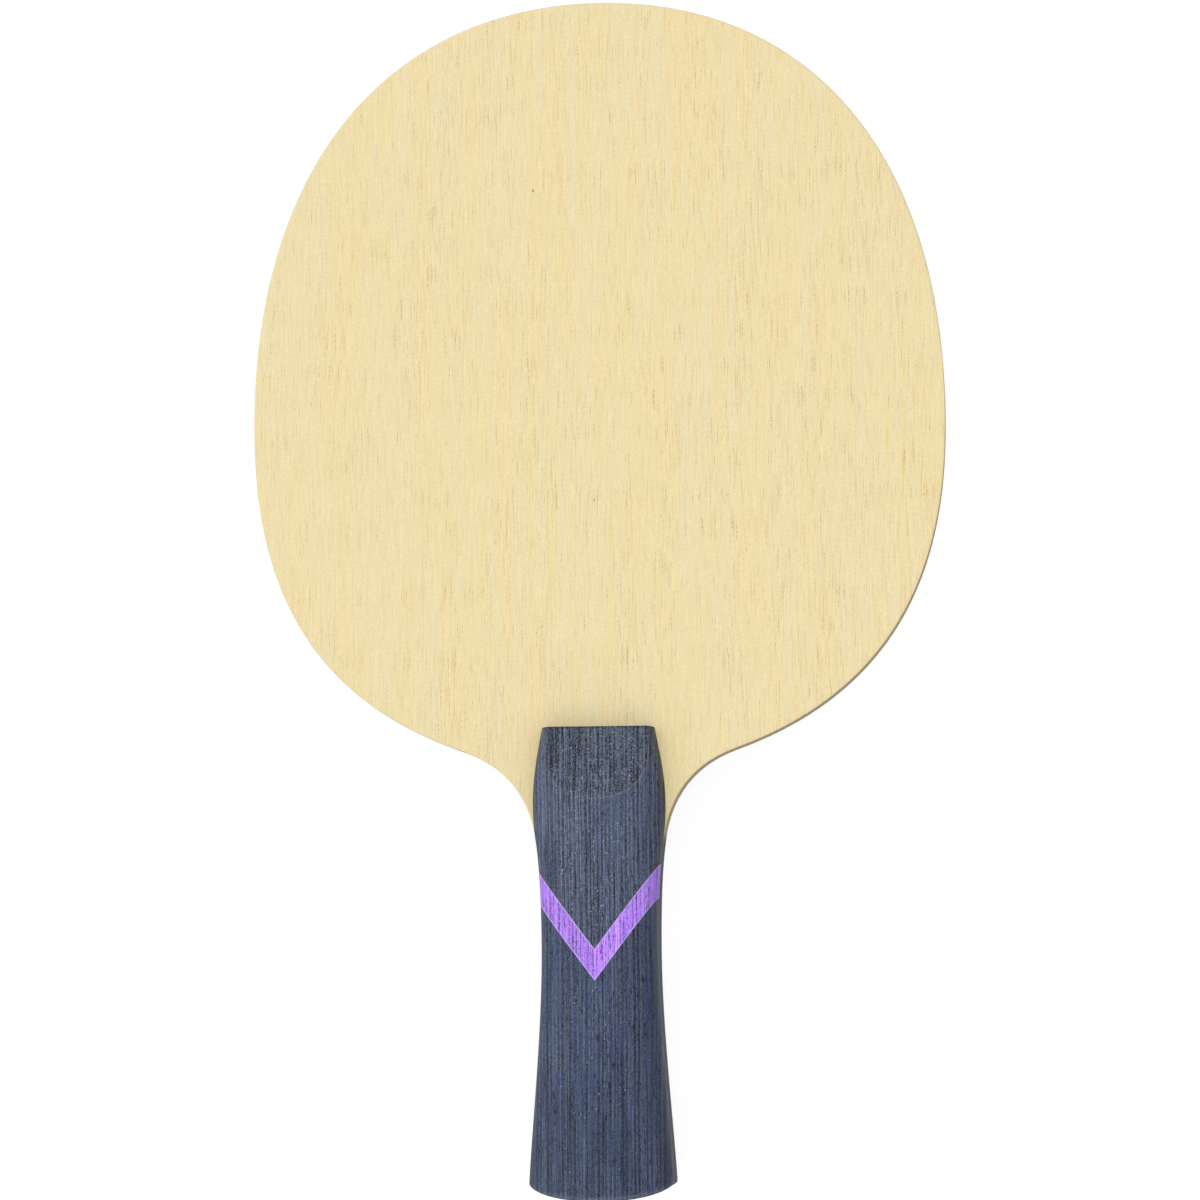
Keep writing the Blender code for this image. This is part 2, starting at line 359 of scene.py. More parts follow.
def inlay_part(piece, side):
    """The strip on the right (side 1) or the left (side -1), mitred where the two strips meet."""
    low_place, normal = chevron_plane(0.0)
    high_place, _ = chevron_plane(INLAY_WIDTH)
    if side < 0:
        normal = mirrored(normal)
    cut(piece, low_place, -normal)
    cut(piece, high_place, normal)
    cut(piece, low_place + Vector((side * SEAM / 2, 0.0, 0.0)), Vector((-side, 0.0, 0.0)))


def lower_part(piece):
    """The block below the chevron: two halves that are cut apart, cut to the line and joined again."""
    place, normal = chevron_plane(-SEAM)
    other = piece.copy()
    cut(piece, place, normal)
    cut(other, place, mirrored(normal))
    for half, side in ((piece, 1), (other, -1)):
        everything = half.verts[:] + half.edges[:] + half.faces[:]
        bmesh.ops.bisect_plane(
            half, geom=everything, dist=WELD, plane_co=place, plane_no=(-side, 0, 0), clear_outer=True
        )
    loose = bpy.data.meshes.new("other_half")
    other.to_mesh(loose)
    other.free()
    piece.from_mesh(loose)
    bpy.data.meshes.remove(loose)
    bmesh.ops.remove_doubles(piece, verts=piece.verts, dist=WELD)


def add_piece(name, mesh, node, material):
    """Sets a finished mesh into the world as the piece that stands for a node of the frame."""
    mesh.materials.append(material)
    piece = bpy.data.objects.new(name, mesh)
    bpy.context.scene.collection.objects.link(piece)
    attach(piece, "root")
    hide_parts(node)


def into_world(face):
    """From the piece's own frame to the world, turned over for the rear face."""
    turn = Matrix.Rotation(math.pi if face == "rear" else 0.0, 4, "Y")
    return Matrix.Translation((0.0, TOP_EDGE_Y, MIDDLE_Z)) @ turn


def add_handle_pieces(materials):
    rows = grip_rows()
    for face in ("front", "rear"):
        for part in ("upper_block", "left_inlay", "right_inlay", "lower_block"):
            piece = whole_scale(rows)
            if part == "upper_block":
                upper_part(piece)
            elif part == "lower_block":
                lower_part(piece)
            else:
                inlay_part(piece, 1 if part == "right_inlay" else -1)
            bmesh.ops.recalc_face_normals(piece, faces=piece.faces)
            node = face + "_" + part
            mesh = bpy.data.meshes.new(node)
            piece.to_mesh(mesh)
            piece.free()
            mesh.transform(into_world(face))
            shade(mesh, SCALE_SHARP_ANGLE)
            slot = "purple_wood" if "inlay" in part else "dyed_wood"
            add_piece(node + "_wood", mesh, node, materials[slot](node))
    return rows


# ---------------------------------------------------------------- plies


def blade_side(rows):
    """The right-hand side of the plies. Along the handle it is the foot of the scales themselves, from
    just below the neck's knot."""
    head = side_points((TIP, WIDEST, HEAD_SHOULDER, NECK), OUTLINE_SPACING)
    grip = [Vector(row[0][0][:2]) for row in rows if row[0][0][1] < NECK[1] - NECK_GAP]
    butt = [Vector(place[:2]) for place, _ in rows[-1][1 : SECTION_STEPS // 2 + 1]]
    return head + grip + butt


def whole_outline(side):
    """The closed outline, and for each point its outward direction."""
    left = [Vector((-point.x, point.y)) for point in reversed(side) if point.x > ON_CENTRE_LINE]
    outline = side + left
    outward = []
    for place, point in enumerate(outline):
        ahead = outline[(place + 1) % len(outline)]
        along = (ahead - outline[place - 1]).normalized()
        outward.append(Vector((-along.y, along.x)))
    if outward[0].y < 0:
        outward = [-direction for direction in outward]
    return outline, outward


def arris(y):
    """Radius of the edge of a face: sanded round on the head, closed up where the handle covers it."""
    covered = smooth((NECK[1] + ARRIS_FADE - y) / ARRIS_FADE)
    return FACE_ROUND + (PLY_SEAM - FACE_ROUND) * covered


def stain_at(y, corner_y):
    """How much of the handle's stain the plies' edge took: all along the handle, none on the butt."""
    below_neck = smooth((NECK[1] + STAIN_ABOVE_NECK - y) / STAIN_NECK_FADE)
    return below_neck * smooth((y - corner_y + STAIN_BUTT_FADE) / STAIN_BUTT_FADE)


def edge_profile(is_face):
    """(share of the radius drawn in, share of the radius from the face), from the side up to the face.
    A face of the blade has a rounded edge, a glued side a fine chamfer."""
    steps = ROUND_STEPS if is_face else 1
    turns = [math.pi / 2 * step / steps for step in range(steps + 1)]
    return [(1 - math.cos(turn), 1 - math.sin(turn)) for turn in turns]


def ply_mesh(name, outline, outward, corner_y, low, high, low_is_face, high_is_face):
    """A ply from one height to another, as rings around its edge that are closed above and below.
    Vertices carry the wear of the edge and how much of the handle's stain they took."""
    ply = bmesh.new()
    wear_layer = ply.verts.layers.float.new("wear_and_highlight")
    stain_layer = ply.verts.layers.float.new("stain")

    def ring(drawn_in, from_face, height, towards, is_face, extra):
        line = []
        for point, direction in zip(outline, outward):
            radius = arris(point.y) if is_face else PLY_SEAM
            place = point - direction * (radius * drawn_in + extra)
            vertex = ply.verts.new((place.x, place.y, height + towards * radius * from_face))
            vertex[stain_layer] = stain_at(point.y, corner_y)
            vertex[wear_layer] = 1.0 if is_face and extra == 0.0 else 0.0
            line.append(vertex)
        return line

    rings = [ring(1.0, 0.0, low, 1, low_is_face, PLY_RIM)]
    for drawn_in, from_face in reversed(edge_profile(low_is_face)):
        rings.append(ring(drawn_in, from_face, low, 1, low_is_face, 0.0))
    for drawn_in, from_face in edge_profile(high_is_face):
        rings.append(ring(drawn_in, from_face, high, -1, high_is_face, 0.0))
    rings.append(ring(1.0, 0.0, high, -1, high_is_face, PLY_RIM))

    count = len(outline)
    for lower, upper in zip(rings, rings[1:]):
        for place in range(count):
            after = (place + 1) % count
            ply.faces.new((lower[place], lower[after], upper[after], upper[place]))
    ply.faces.new(list(reversed(rings[0])))
    ply.faces.new(rings[-1])
    bmesh.ops.recalc_face_normals(ply, faces=ply.faces)
    mesh = bpy.data.meshes.new(name)
    ply.to_mesh(mesh)
    ply.free()
    return mesh


def add_plies(rows, materials):
    outline, outward = whole_outline(blade_side(rows))
    corner_y = rows[-1][0][0][1]
    layers = (
        ("rear_outer_ply", -FACE_Z, -INNER_TOP_Z - SEAM, True, False, "face_veneer"),
        ("rear_inner_ply", -INNER_TOP_Z, -CORE_TOP_Z - SEAM, False, False, "inner_veneer"),
        ("core_ply", -CORE_TOP_Z, CORE_TOP_Z, False, False, "core_wood"),
        ("front_inner_ply", CORE_TOP_Z + SEAM, INNER_TOP_Z, False, False, "inner_veneer"),
        ("front_outer_ply", INNER_TOP_Z + SEAM, FACE_Z, False, True, "face_veneer"),
    )
    for node, low, high, low_is_face, high_is_face, slot in layers:
        mesh = ply_mesh(node, outline, outward, corner_y, low, high, low_is_face, high_is_face)
        mesh.transform(into_world("front"))
        shade(mesh, PLY_SHARP_ANGLE)
        add_piece(node + "_wood", mesh, node, materials[slot](node))


# ---------------------------------------------------------------- materials


class Tree:
    """A short way to write a material's nodes."""

    def __init__(self, name):
        self.material = bpy.data.materials.new(name)
        self.material.use_nodes = True
        self.nodes = self.material.node_tree.nodes
        self.links = self.material.node_tree.links
        self.shader = self.nodes["Principled BSDF"]

    def put(self, socket, value):
        """Links a socket to another, or sets it to a number or a colour."""
        if isinstance(value, bpy.types.NodeSocket):
            self.links.new(value, socket)
        elif socket.type == "RGBA":
            socket.default_value = (*value, 1.0)
        else:
            socket.default_value = value

    def place(self, shift, sizes):
        """Position in the object, moved by the shift and divided by the size of the pattern's cells."""
        texture = self.nodes.new("ShaderNodeTexCoord")
        mapping = self.nodes.new("ShaderNodeMapping")
        mapping.inputs["Location"].default_value = [move / size for move, size in zip(shift, sizes)]
        mapping.inputs["Scale"].default_value = [1 / size for size in sizes]
        self.links.new(texture.outputs["Object"], mapping.inputs["Vector"])
        return mapping.outputs["Vector"]

    def measured_from(self, x, y):
        """How far across, how far along and how high the surface is from a point, in metres."""
        return self.axes(self.place((-x, -y, 0.0), (1.0, 1.0, 1.0)))

    def drifted(self, shift, sizes, drift):
        """Position for a grain pattern whose lines wander sideways, by an amount over a reach."""
        amount, reach = drift
        wander = self.noise(self.place(shift, (reach * DRIFT_WIDTH, reach, reach * DRIFT_WIDTH)), 1.0)
        aside = self.nodes.new("ShaderNodeCombineXYZ")
        self.put(aside.inputs["X"], self.line(wander, 0.0, 1.0, -amount / sizes[0], amount / sizes[0]))
        moved = self.nodes.new("ShaderNodeVectorMath")
        moved.operation = "ADD"
        self.put(moved.inputs[0], self.place(shift, sizes))
        self.put(moved.inputs[1], aside.outputs["Vector"])
        return moved.outputs["Vector"]

    def axes(self, vector):
        node = self.nodes.new("ShaderNodeSeparateXYZ")
        self.links.new(vector, node.inputs[0])
        return node.outputs

    def noise(self, vector, detail=2.0, roughness=0.5):
        node = self.nodes.new("ShaderNodeTexNoise")
        node.inputs["Scale"].default_value = 1.0
        node.inputs["Detail"].default_value = detail
        node.inputs["Roughness"].default_value = roughness
        self.links.new(vector, node.inputs["Vector"])
        return node.outputs["Fac"]

    def cells(self, vector):
        """Distance to the nearest scattered point, and a random number of that point."""
        node = self.nodes.new("ShaderNodeTexVoronoi")
        node.inputs["Scale"].default_value = 1.0
        self.links.new(vector, node.inputs["Vector"])
        return node.outputs["Distance"], self.axes(node.outputs["Color"])[0]

    def math(self, operation, a, b=0.0):
        node = self.nodes.new("ShaderNodeMath")
        node.operation = operation
        self.put(node.inputs[0], a)
        self.put(node.inputs[1], b)
        return node.outputs[0]

    def times(self, a, b):
        return self.math("MULTIPLY", a, b)

    def plus(self, a, b):
        return self.math("ADD", a, b)

    def minus(self, a, b):
        return self.math("SUBTRACT", a, b)

    def map_range(self, value, low, high, to_low, to_high):
        node = self.nodes.new("ShaderNodeMapRange")
        for name, number in (("From Min", low), ("From Max", high), ("To Min", to_low), ("To Max", to_high)):
            self.put(node.inputs[name], number)
        self.put(node.inputs["Value"], value)
        return node

    def span(self, value, low, high, to_low=0.0, to_high=1.0):
        """Stretches a range of values onto another, smoothly, and stops at its ends."""
        node = self.map_range(value, low, high, to_low, to_high)
        node.interpolation_type = "SMOOTHSTEP"
        return node.outputs["Result"]

    def line(self, value, low, high, to_low=0.0, to_high=1.0):
        """As span, but in a straight line that runs on past its ends."""
        node = self.map_range(value, low, high, to_low, to_high)
        node.clamp = False
        return node.outputs["Result"]

    def total(self, start, *parts):
        """A start value plus, for each part of (pattern, its middle value, weight), how far the pattern
        is above its middle, times the weight."""
        value = start
        for pattern, middle, weight in parts:
            value = self.plus(self.line(pattern, middle, middle + 1.0, 0.0, weight), value)
        return value

    def mix(self, share, a, b):
        """From the colour a to the colour b, by a share from 0 to 1."""
        node = self.nodes.new("ShaderNodeMix")
        node.data_type = "RGBA"
        self.put(node.inputs["Factor"], share)
        self.put(next(socket for socket in node.inputs if socket.identifier == "A_Color"), a)
        self.put(next(socket for socket in node.inputs if socket.identifier == "B_Color"), b)
        return next(socket for socket in node.outputs if socket.identifier == "Result_Color")

    def brighten(self, colour, factor):
        """Multiplies a colour by a number that varies over the surface."""
        node = self.nodes.new("ShaderNodeVectorMath")
        node.operation = "SCALE"
        self.links.new(colour, node.inputs[0])
        self.put(node.inputs["Scale"], factor)
        return node.outputs["Vector"]

    def attribute(self, name):
        node = self.nodes.new("ShaderNodeAttribute")
        node.attribute_name = name
        return node.outputs["Fac"]

    def finish(self, colour, roughness, height, depth):
        """Connects the colour, the roughness and a bump whose height runs from 0 to 1 over a depth."""
        self.links.new(colour, self.shader.inputs["Base Color"])
        self.links.new(roughness, self.shader.inputs["Roughness"])
        bump = self.nodes.new("ShaderNodeBump")
        bump.inputs["Strength"].default_value = 1.0
        bump.inputs["Distance"].default_value = depth
        self.links.new(height, bump.inputs["Height"])
        self.links.new(bump.outputs["Normal"], self.shader.inputs["Normal"])
        return self.material


# A pattern's cell sizes are its width across the blade, its length along it and its depth. Most of a
# noise lies between 0.35 and 0.65, so a span over that range uses all of it. A drift is how far the
# lines of a grain wander and over what reach, and its own cells are narrower than they are long.
PIECE_SHIFT = (0.137, 0.311, 0.071)
DRIFT_WIDTH = 0.35
DYE = ((0.014, 0.020, 0.034), (0.036, 0.047, 0.074))

FACE_DRIFT = (0.9 * MM, 90 * MM)
FACE_CREAM = (0.851, 0.733, 0.434)
FACE_PEACH = (0.866, 0.720, 0.392)
FACE_THREAD = (0.815, 0.620, 0.300)
FACE_PORE = (0.560, 0.355, 0.150)
FACE_FLECK = (0.160, 0.095, 0.045)
FACE_WORN = (0.760, 0.640, 0.390)
FACE_SPECULAR = 0.3
FACE_RELIEF = 0.02 * MM

INNER_VENEER = {
    "streaks": (12 * MM, 0.35 * MM, 0.30 * MM),
    "pores": (1.8 * MM, 0.16 * MM, 0.16 * MM),
    "colours": ((0.520, 0.350, 0.190), (0.670, 0.490, 0.290)),
    "pore_colour": (0.250, 0.150, 0.080),
    "roughness": (0.66, 0.78),
    "pore_depth": 0.7,
    "relief": 0.04 * MM,
}
CORE_WOOD = {
    "streaks": (0.5 * MM, 18 * MM, 0.5 * MM),
    "pores": (0.24 * MM, 3.5 * MM, 0.24 * MM),
    "colours": ((0.660, 0.520, 0.320), (0.800, 0.670, 0.450)),
    "pore_colour": (0.360, 0.240, 0.130),
    "roughness": (0.70, 0.82),
    "pore_depth": 0.8,
    "relief": 0.06 * MM,
}

# The dyed woods' lines: the spacing of a set, the width over which it swells, and its greatest share.
LAMINATIONS = ((0.84 * MM, 3.0 * MM, 1.0), (1.23 * MM, 1.6 * MM, 0.7))
LAMINATION_DRIFT = (0.45 * MM, 60 * MM)
TINT_DRIFT = (0.3 * MM, 60 * MM)
DYED_RELIEF = 0.05 * MM
DYED_SPECULAR = 0.2
PURPLE_SPECULAR = 0.3

# The two dyed blocks of a scale. Their tones, how strong the streaks and the lines are, how likely painted
# glints are between and in their files, and how much darker the painted shade and the butt end are.
UPPER_BLOCK = {
    "tones": ((0.059, 0.085, 0.143), (0.066, 0.079, 0.152)),
    "streaks": 3.0,
    "lines": 0.80,
    "glint_likeliness": (0.02, 0.80),
    "painted_shade": 0.50,
    "fade": (1.0, 1.0),
}
LOWER_BLOCK = {
    "tones": ((0.034, 0.056, 0.107), (0.040, 0.051, 0.116)),
    "streaks": 2.55,
    "lines": 0.50,
    "glint_likeliness": (0.003, 0.05),
    "painted_shade": 0.72,
    "fade": (0.99, 1.17),
}
FADE_BUTT_Y = -90 * MM
FADE_TOP_Y = -64 * MM
DYED_SCOOP = (0.064, 0.075, 0.104)
DYED_LINE = (0.196, 0.236, 0.306)
DYED_PORE = (0.006, 0.007, 0.011)
DYED_GLINT = (0.460, 0.510, 0.575)
DYED_WORN_HIGHLIGHT = (0.230, 0.260, 0.310)
DARKEST = 0.12

PURPLE_TONES = ((0.366, 0.172, 0.775), (0.427, 0.218, 0.855))
PURPLE_PORE = (0.070, 0.022, 0.130)
PURPLE_RIM = (0.610, 0.450, 0.900)
# the right strip's extra brightness is painted light, making up for the lamp's shade on the right of the
# crown
PURPLE_BRIGHTNESS_WITH_PAINTED_LIGHT = {"right": 1.44, "left": 1.17}
RIM_INNER = 0.30 * MM
RIM_OUTER = 0.12 * MM

shifts = {}


def shift_for(node):
    """Each piece is cut from another place in the wood."""
    number = shifts.setdefault(node, len(shifts) + 1)
    return [step * number for step in PIECE_SHIFT]


def stained(tree, colour, streaks):
    """The dye that the plies' edges took along the handle, with the streaks of the wood under it."""
    return tree.mix(tree.attribute("stain"), colour, tree.mix(tree.span(streaks, 0.35, 0.65), *DYE))


def face_pores(tree, shift):
    """Beaded open pores in files, more of them towards the right."""
    across = tree.measured_from(0.0, 0.0)[0]
    crowd = tree.noise(tree.place(shift, (5 * MM, 45 * MM, 5 * MM)), 2.0)
    crowd = tree.plus(crowd, tree.line(across, -HALF_HEAD_WIDTH, HALF_HEAD_WIDTH, -0.05, 0.05))
    files = tree.noise(tree.drifted(shift, (0.21 * MM, 7.0 * MM, 0.5 * MM), FACE_DRIFT), 1.0, 0.4)
    beads = tree.noise(tree.place(shift, (0.3 * MM, 0.50 * MM, 0.3 * MM)), 1.0, 0.5)
    pore = tree.span(tree.minus(files, tree.line(crowd, 0.35, 0.65, 0.66, 0.58)), 0.0, 0.12)
    return tree.times(pore, tree.span(beads, 0.38, 0.58, 0.15, 1.0))


def face_veneer(node):
    """Pale yellow face veneer: fine short streaks, cream, peach and tan tints, pores and a few dark
    flecks."""
    tree = Tree(node + "_face_veneer")
    tree.shader.inputs["Specular IOR Level"].default_value = FACE_SPECULAR
    shift = shift_for(node)
    streaks = tree.noise(tree.drifted(shift, (0.25 * MM, 9 * MM, 0.6 * MM), FACE_DRIFT), 2.0, 0.6)
    speckle = tree.noise(tree.place(shift, (0.28 * MM, 0.42 * MM, 0.28 * MM)), 1.0, 0.7)
    bands = tree.noise(tree.drifted(shift, (1.9 * MM, 55 * MM, 4 * MM), FACE_DRIFT), 2.0, 0.5)
    threads = tree.noise(tree.drifted(shift, (0.30 * MM, 15 * MM, 0.8 * MM), FACE_DRIFT), 2.0, 0.6)
    colour = tree.mix(tree.span(bands, 0.36, 0.64), FACE_CREAM, FACE_PEACH)
    colour = tree.mix(tree.span(threads, 0.50, 0.68, 0.0, 0.55), colour, FACE_THREAD)
    light = tree.line(streaks, 0.35, 0.65, 0.968, 1.036)
    light = tree.times(light, tree.line(speckle, 0.35, 0.65, 0.962, 1.038))
    colour = tree.brighten(colour, light)

    pore = face_pores(tree, shift)
    colour = tree.mix(tree.times(pore, 0.66), colour, FACE_PORE)
    far, pick = tree.cells(tree.place(shift, (6.5 * MM, 11 * MM, 6.5 * MM)))
    fleck = tree.times(tree.span(far, 0.045, 0.02), tree.span(pick, 0.90, 0.91))
    colour = tree.mix(tree.times(fleck, 0.7), colour, FACE_FLECK)
    colour = tree.mix(tree.times(tree.attribute("wear_and_highlight"), 0.12), colour, FACE_WORN)
    colour = stained(tree, colour, streaks)
    height = tree.minus(tree.times(streaks, 0.4), tree.times(pore, 0.6))
    return tree.finish(colour, tree.line(streaks, 0.35, 0.65, 0.58, 0.66), height, FACE_RELIEF)


def raw_wood(name, shift, wood):
    """Unfinished wood, seen only at the edge: streaks, open pores, and dye along the handle."""
    tree = Tree(name)
    streaks = tree.noise(tree.place(shift, wood["streaks"]), 3.0, 0.6)
    pore = tree.span(tree.noise(tree.place(shift, wood["pores"]), 1.0, 0.4), 0.62, 0.70)
    colour = tree.mix(tree.span(streaks, 0.35, 0.65), *wood["colours"])
    colour = tree.mix(tree.times(pore, 0.6), colour, wood["pore_colour"])
    colour = stained(tree, colour, streaks)
    height = tree.minus(streaks, tree.times(pore, wood["pore_depth"]))
    return tree.finish(colour, tree.line(streaks, 0.3, 0.7, *wood["roughness"]), height, wood["relief"])


def inner_veneer(node):
    """Tan veneer laid crosswise."""
    return raw_wood(node + "_inner_veneer", shift_for(node), INNER_VENEER)


def core_wood(node):
    """Light, open-grained wood laid lengthwise."""
    return raw_wood(node + "_core_wood", shift_for(node), CORE_WOOD)


def lamination_lines(tree, shift):
    """The dyed woods are pressed from thin veneers, whose edges show as fine lines at two spacings that
    swell and fade along their length and are broken into beads."""
    line = 0.0
    for spacing, width, share in LAMINATIONS:
        across = tree.axes(tree.drifted(shift, (spacing, 1.0, 1.0), LAMINATION_DRIFT))[0]
        wave = tree.math("SINE", tree.times(across, 2 * math.pi))
        swell = tree.noise(tree.drifted(shift, (width, 20 * MM, 3 * width), LAMINATION_DRIFT), 2.0, 0.6)
        crest = tree.times(tree.span(wave, 0.1, 0.95), tree.span(swell, 0.34, 0.60, 0.1, share))
        line = tree.math("MAXIMUM", crest, line)
    beads = tree.noise(tree.place(shift, (0.5 * MM, 0.42 * MM, 0.5 * MM)), 1.0, 0.5)
    return tree.times(line, tree.span(beads, 0.34, 0.62, 0.35, 1.0))


def dyed_grain(tree, shift):
    """The grain of a dyed wood: its lines, streaks, broad bands, speckle and short open pores."""
    line = lamination_lines(tree, shift)
    streaks = tree.noise(tree.drifted(shift, (0.24 * MM, 12 * MM, 0.9 * MM), LAMINATION_DRIFT), 2.0, 0.6)
    broad = tree.noise(tree.drifted(shift, (2.2 * MM, 80 * MM, 4.4 * MM), LAMINATION_DRIFT), 2.0, 0.5)
    speckle = tree.noise(tree.place(shift, (0.27 * MM, 0.44 * MM, 0.36 * MM)), 2.0, 0.7)
    crowd = tree.noise(tree.place(shift, (2.4 * MM, 14 * MM, 2.4 * MM)), 2.0)
    pores = tree.noise(tree.drifted(shift, (0.22 * MM, 2.0 * MM, 0.6 * MM), LAMINATION_DRIFT), 1.0, 0.4)
    pore = tree.span(tree.minus(pores, tree.line(crowd, 0.35, 0.65, 0.72, 0.60)), 0.0, 0.05)
    return line, streaks, broad, speckle, pore


def painted_glints(tree, shift, across, likeliness):
    """Painted glints: small pale specks that stand in for light caught on pore edges, most of them in files
    on the middle of the crown.
    """
    crown = tree.span(tree.math("ABSOLUTE", across), 11 * MM, 4 * MM)
    files = tree.noise(tree.drifted(shift, (0.34 * MM, 22 * MM, 0.7 * MM), TINT_DRIFT), 1.0, 0.4)
    far, pick = tree.cells(tree.place(shift, (0.30 * MM, 0.48 * MM, 0.30 * MM)))
    likely = tree.times(crown, tree.span(files, 0.58, 0.68, *likeliness))
    chosen = tree.times(tree.math("LESS_THAN", pick, likely), tree.span(pick, 0.7, 0.0, 0.25, 1.0))
    return tree.times(tree.span(far, 0.44, 0.18), chosen)


def dyed_wood(node):
    """Dark blue-grey dyed wood, with purple and teal tints, black pores, and painted glints as pale specks
    in files. The thumb scoop is rougher, because the drum sanded it across the grain, and has painted shade
    on its left."""
    block = UPPER_BLOCK if "upper" in node else LOWER_BLOCK
    tree = Tree(node + "_dyed_wood")
    tree.shader.inputs["Specular IOR Level"].default_value = DYED_SPECULAR
    shift = shift_for(node)
    line, streaks, broad, speckle, pore = dyed_grain(tree, shift)
    tint = tree.noise(tree.drifted(shift, (1.4 * MM, 22 * MM, 2.8 * MM), TINT_DRIFT), 2.0, 0.5)
    scratches = tree.noise(tree.place(shift, (0.30 * MM, 0.38 * MM, 0.30 * MM)), 3.0, 0.75)
    across, along, _ = tree.measured_from(0.0, TOP_EDGE_Y)
    scoop = tree.attribute("scoop")

    colour = tree.mix(tree.span(tint, 0.36, 0.64), *block["tones"])
    colour = tree.mix(tree.times(scoop, 0.6), colour, DYED_SCOOP)
    bright = tree.total(0.84, (streaks, 0.5, block["streaks"]), (broad, 0.5, 1.2), (speckle, 0.5, 3.4))
    bright = tree.times(bright, tree.span(along, FADE_BUTT_Y, FADE_TOP_Y, *block["fade"]))
    rough = tree.total(0.66, (streaks, 0.5, 5.0), (scratches, 0.5, 10.5))
    # painted shade: the left part of the scoop is darker, where its hollow turns away from the light
    rough = tree.times(rough, tree.span(across, -10 * MM, -3 * MM, 0.82, 1.0))
    bright = tree.plus(tree.times(tree.minus(rough, bright), scoop), bright)
    colour = tree.brighten(colour, tree.math("MAXIMUM", bright, DARKEST))
    colour = tree.mix(tree.times(line, block["lines"]), colour, DYED_LINE)
    colour = tree.mix(tree.times(pore, 0.85), colour, DYED_PORE)
    # painted glints: pale specks for light caught on pore edges along the crown
    speck = painted_glints(tree, shift, across, block["glint_likeliness"])
    colour = tree.mix(tree.times(speck, 0.9), colour, DYED_GLINT)
    # painted highlight along the worn butt edge and the scoop's ridge, stronger towards the right
    worn = tree.times(tree.attribute("wear_and_highlight"), tree.span(scratches, 0.44, 0.58, 0.25, 1.0))
    worn = tree.times(worn, tree.span(across, -8 * MM, 6 * MM, 0.32, 0.55))
    colour = tree.mix(worn, colour, DYED_WORN_HIGHLIGHT)
    # painted shade: darkens the grip low on its sides and at its top edge
    colour = tree.brighten(colour, tree.line(tree.attribute("painted_shade"), 0.0, 1.0, 1.0, block["painted_shade"]))

    height = tree.total(0.0, (line, 0.0, 0.15), (streaks, 0.5, 0.8), (speckle, 0.5, 0.5), (pore, 0.0, -0.6))
    height = tree.plus(height, tree.times(tree.times(scratches, scoop), 1.2))
    roughness = tree.plus(tree.line(streaks, 0.3, 0.7, 0.48, 0.60), tree.times(scoop, 0.12))
    return tree.finish(colour, roughness, height, DYED_RELIEF)


def purple_wood(node):
    """Bright purple dyed wood with fine darker lines, and a paler line along its glued edges. The right
    strip is painted brighter than the left, as painted light against the lamp's shade on the crown's right.
    """
    tree = Tree(node + "_purple_wood")
    tree.shader.inputs["Specular IOR Level"].default_value = PURPLE_SPECULAR
    line, streaks, broad, speckle, pore = dyed_grain(tree, shift_for(node))
    colour = tree.mix(tree.span(broad, 0.35, 0.65), *PURPLE_TONES)
    # painted light: the right strip is brighter to make up for the lamp's shade on the crown's right
    brightness = PURPLE_BRIGHTNESS_WITH_PAINTED_LIGHT["right" if "right" in node else "left"]
    bright = tree.total(brightness, (line, 0.0, -0.74), (streaks, 0.5, 2.8), (speckle, 0.5, 2.2))
    colour = tree.brighten(colour, bright)
    colour = tree.mix(tree.times(pore, 0.8), colour, PURPLE_PORE)

    point_x = -INLAY_POINT_X if node.startswith("rear") else INLAY_POINT_X
    x, y, _ = tree.measured_from(point_x, TOP_EDGE_Y + INLAY_POINT_Y)
    along = tree.times(y, math.cos(INLAY_RISE))
    aside = tree.times(tree.math("ABSOLUTE", x), math.sin(INLAY_RISE))
    from_middle = tree.math("ABSOLUTE", tree.minus(tree.minus(along, aside), INLAY_WIDTH / 2))
    rim = tree.span(from_middle, INLAY_WIDTH / 2 - RIM_INNER, INLAY_WIDTH / 2 - RIM_OUTER)
    colour = tree.mix(tree.times(rim, 0.7), colour, PURPLE_RIM)
    height = tree.total(0.0, (line, 0.0, 0.15), (streaks, 0.5, 0.8), (pore, 0.0, -0.6))
    return tree.finish(colour, tree.line(streaks, 0.3, 0.7, 0.46, 0.58), height, DYED_RELIEF)


MATERIALS = {
    "face_veneer": face_veneer,
    "inner_veneer": inner_veneer,
    "core_wood": core_wood,
    "dyed_wood": dyed_wood,
    "purple_wood": purple_wood,
}


# ---------------------------------------------------------------- camera, light and floor

CAMERA_PLACE = Vector((0.0842, -0.0818, 0.8089))
CAMERA_TARGET = Vector((0.00017, -0.00153, 0.0124))
CAMERA_ROLL = math.radians(-0.4466)
CAMERA_LENS = 112.03
CAMERA_SENSOR = 36.0

KEY_STRENGTH = 1.27
KEY_DIRECTION = Vector((-1.0, 0.4, 1.0))
KEY_SOFTNESS = math.radians(40)
SKY_FROM_Z, SKY_TO_Z = -0.2, 0.9
SKY_LOW, SKY_HIGH = 0.10, 0.87

SWEEP_RADIUS = 2.4
SWEEP_BEND = 0.8
SWEEP_HEIGHT = 3.0
SWEEP_STEPS = 12
SWEEP_TURNS = 96
PAPER_COLOUR = (0.28, 0.28, 0.28, 1.0)
PAPER_ROUGHNESS = 0.9
PAPER_GLOW = 0.80
WHITE = (1.0, 1.0, 1.0, 1.0)


